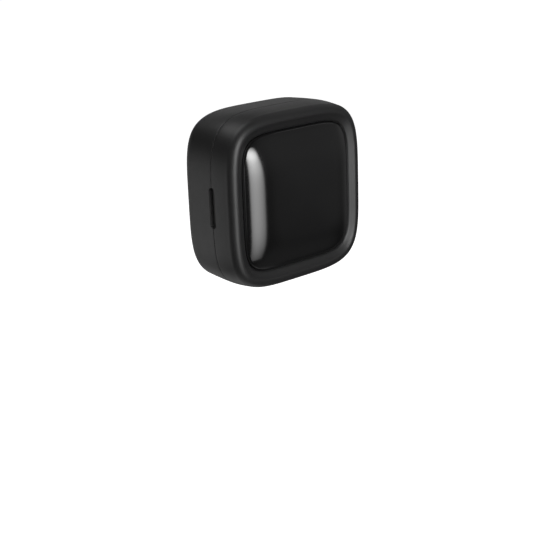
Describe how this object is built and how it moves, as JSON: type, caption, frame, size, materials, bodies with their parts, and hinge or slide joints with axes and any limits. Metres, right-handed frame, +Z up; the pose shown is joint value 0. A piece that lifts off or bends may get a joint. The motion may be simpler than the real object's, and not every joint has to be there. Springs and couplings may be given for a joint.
{
  "type": "uv toothbrush sterilizer",
  "caption": "Rounded-square clamshell that closes round a toothbrush head: hinged lid with a large glossy push panel and UV-C lamps, mirrored chamber and a soft throat for the neck.",
  "frame": {"origin": "centre of the casing's bottom, on the small flat that it stands on", "axes": "+Z up, -Y towards the glossy push panel, +X towards the hinge side"},
  "size_m": [0.0608, 0.0308, 0.0596],
  "materials": {
    "casing": "satin black moulded plastic with a fine grain",
    "panel": "high-gloss black",
    "inner_plastic": "matt dark grey moulded plastic",
    "reflector": "bright satin reflector",
    "window": "clear, polished",
    "silicone": "soft matt silicone",
    "steel": "plain steel",
    "magnet": "nickel plated",
    "circuit_board": "green solder mask",
    "chip": "black epoxy",
    "led_package": "off-white ceramic",
    "ferrite": "matt ferrite",
    "battery_pouch": "foil pouch",
    "foam_tape": "foam",
    "ribbon": "amber film"
  },
  "bodies": {
    "base": {"rear_shell": "casing", "chamber_liner": "reflector", "throat_seal_rear": "silicone", "lid_gasket": "silicone", "hinge_pin": "steel", "base_magnet_upper": "magnet", "base_magnet_lower": "magnet", "interlock_magnet": "magnet", "liner_screw_1": "steel", "liner_screw_2": "steel", "liner_screw_3": "steel", "liner_screw_4": "steel"},
    "lid": {"front_shell": "casing", "lid_inner_cover": "inner_plastic", "uv_window": "window", "throat_seal_front": "silicone", "stop_pad_1": "silicone", "stop_pad_2": "silicone", "stop_pad_3": "silicone", "stop_pad_4": "silicone", "usb_socket": "steel", "lid_screw_1": "steel", "lid_screw_2": "steel", "lid_screw_3": "steel", "lid_screw_4": "steel", "lid_magnet_upper": "magnet", "lid_magnet_lower": "magnet", "control_board": "circuit_board", "charge_board": "circuit_board", "switch_body": "chip", "microcontroller_chip": "chip", "hall_sensor": "chip", "charger_chip": "chip", "uv_led_upper": "led_package", "uv_led_lower": "led_package", "status_led": "led_package", "boost_inductor": "ferrite", "battery_cell": "battery_pouch", "battery_tape": "foam_tape", "charge_ribbon": "ribbon"},
    "start_button": {"button_panel": "panel", "button_frame": "inner_plastic", "switch_stem": "silicone"}
  },
  "joints": [
    {"name": "lid_hinge", "type": "hinge", "parent": "base", "child": "lid", "pos_m": [0.02915, -0.00213, 0.0296], "axis": [0, 0, 1], "range_deg": [0, 110]},
    {"name": "start_press", "type": "slide", "parent": "lid", "child": "start_button", "axis": [0, 1, 0], "range_m": [0, 0.0006], "stiffness_N_per_m": 2000, "springref_m": -0.0005}
  ]
}
